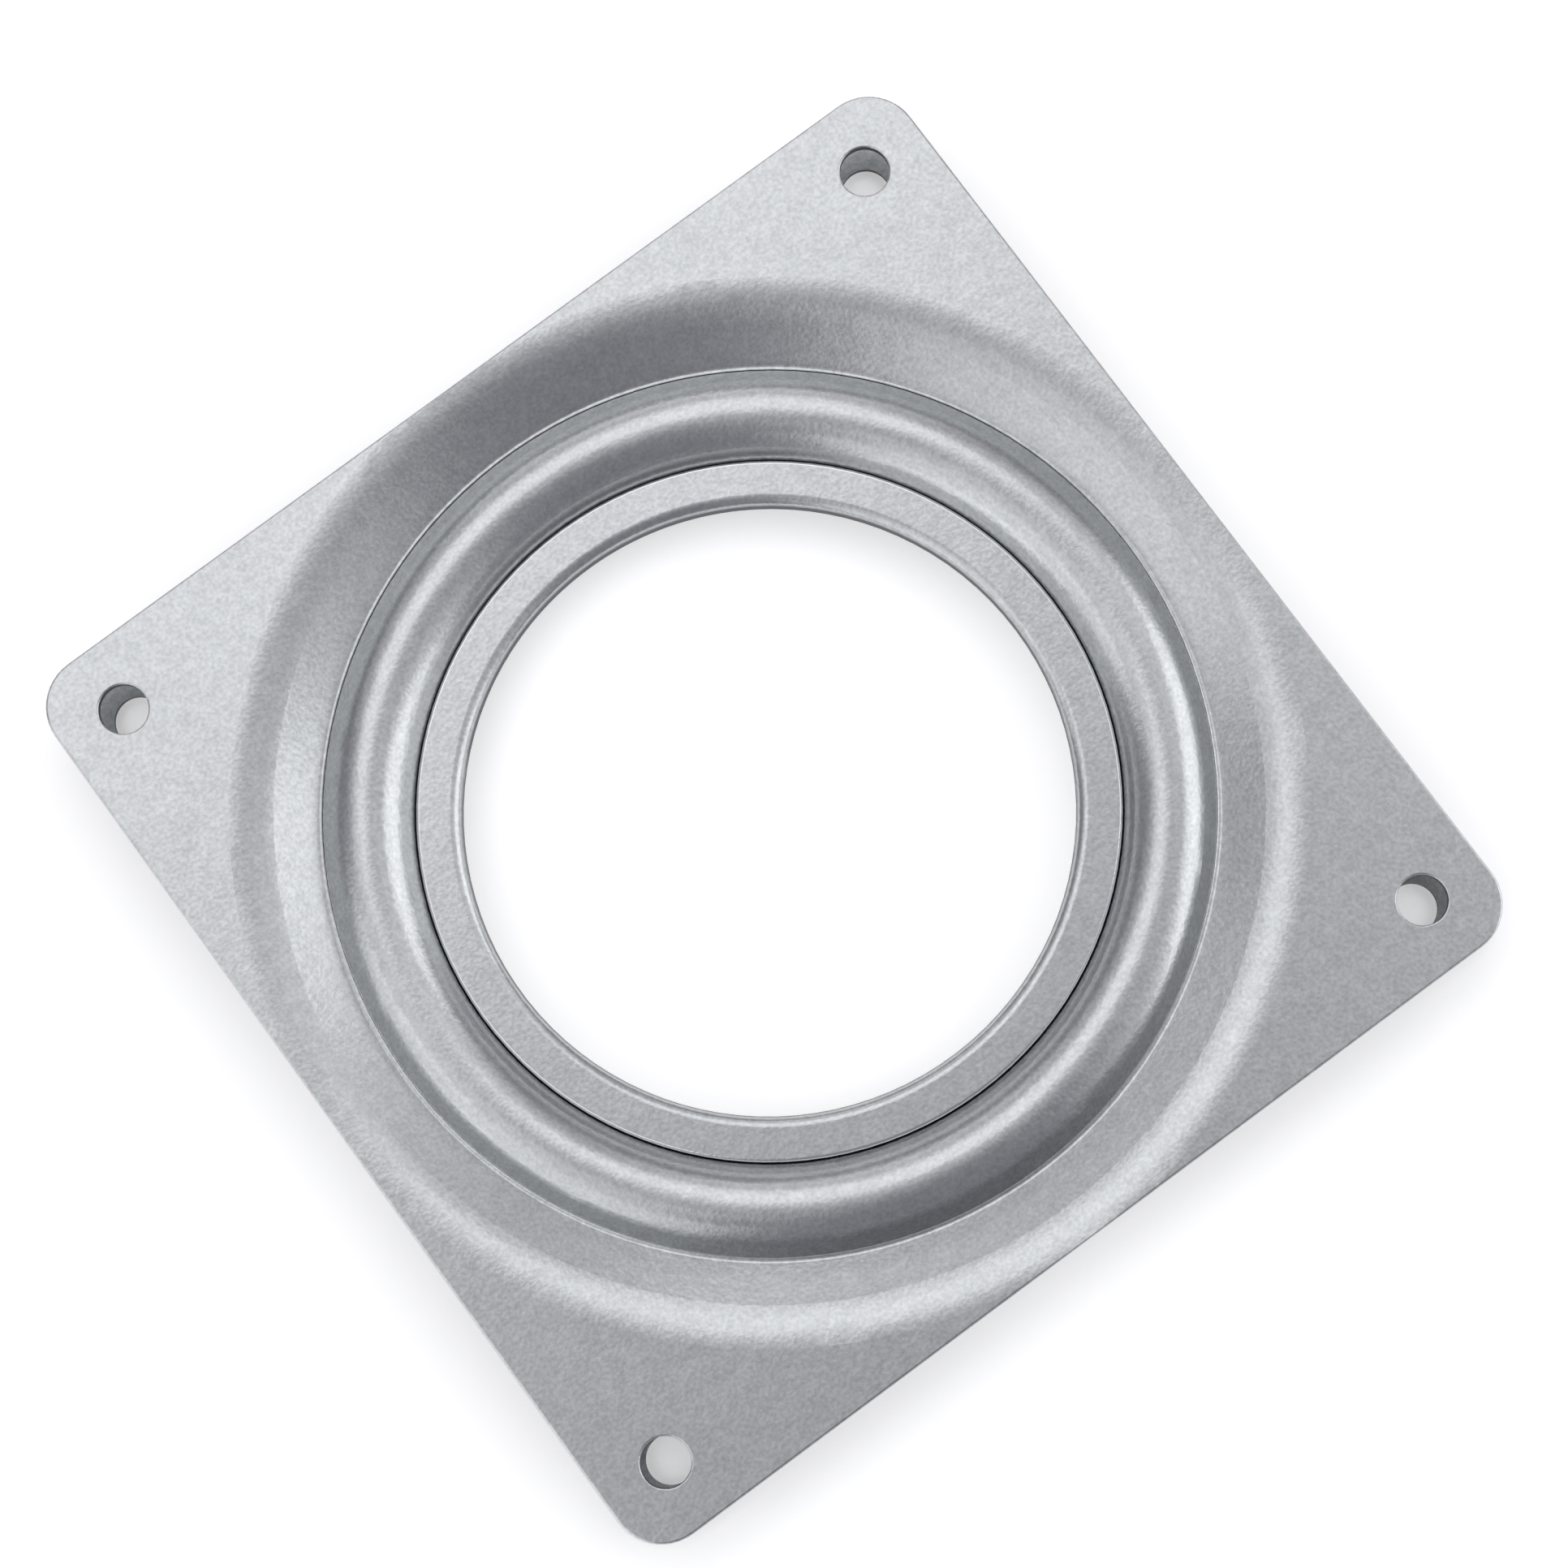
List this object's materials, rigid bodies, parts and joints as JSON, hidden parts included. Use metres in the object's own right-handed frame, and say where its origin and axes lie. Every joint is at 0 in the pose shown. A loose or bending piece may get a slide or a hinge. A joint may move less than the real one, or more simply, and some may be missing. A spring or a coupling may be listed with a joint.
{
  "type": "lazy susan bearing",
  "caption": "Square lazy susan turntable bearing: dished pressed-steel plates with corner screw holes and a wide centre bore, turning on a ring of loose steel balls.",
  "frame": {"origin": "on the turning axis, level with the base plate's outer (lower) face", "axes": "+Z along the turning axis, out of the top plate; +X and +Y square to the plates' straight edges, with both plates aligned at rest"},
  "size_m": [0.1016, 0.1016, 0.0085],
  "materials": {
    "plate_steel": "zinc-plated pressed sheet, satin with fine rolling grain",
    "ball_steel": "ground and polished"
  },
  "bodies": {
    "base": {"base_plate": "plate_steel"},
    "top": {"top_plate": "plate_steel"},
    "balls": {"ball_01": "ball_steel", "ball_02": "ball_steel", "ball_03": "ball_steel", "ball_04": "ball_steel", "ball_05": "ball_steel", "ball_06": "ball_steel", "ball_07": "ball_steel", "ball_08": "ball_steel", "ball_09": "ball_steel", "ball_10": "ball_steel", "ball_11": "ball_steel", "ball_12": "ball_steel", "ball_13": "ball_steel", "ball_14": "ball_steel", "ball_15": "ball_steel", "ball_16": "ball_steel", "ball_17": "ball_steel", "ball_18": "ball_steel", "ball_19": "ball_steel", "ball_20": "ball_steel", "ball_21": "ball_steel", "ball_22": "ball_steel", "ball_23": "ball_steel", "ball_24": "ball_steel", "ball_25": "ball_steel", "ball_26": "ball_steel", "ball_27": "ball_steel", "ball_28": "ball_steel", "ball_29": "ball_steel", "ball_30": "ball_steel", "ball_31": "ball_steel", "ball_32": "ball_steel", "ball_33": "ball_steel", "ball_34": "ball_steel", "ball_35": "ball_steel", "ball_36": "ball_steel"}
  },
  "joints": [
    {"name": "turn", "type": "hinge", "parent": "base", "child": "top", "pos_m": [0, 0, 0.00425], "axis": [0, 0, 1], "continuous": true},
    {"name": "ball_orbit", "type": "hinge", "parent": "base", "child": "balls", "pos_m": [0, 0, 0.00425], "axis": [0, 0, 1], "continuous": true}
  ],
  "couplings": [
    {"joint": "ball_orbit", "follows": "turn", "ratio": 0.5}
  ]
}
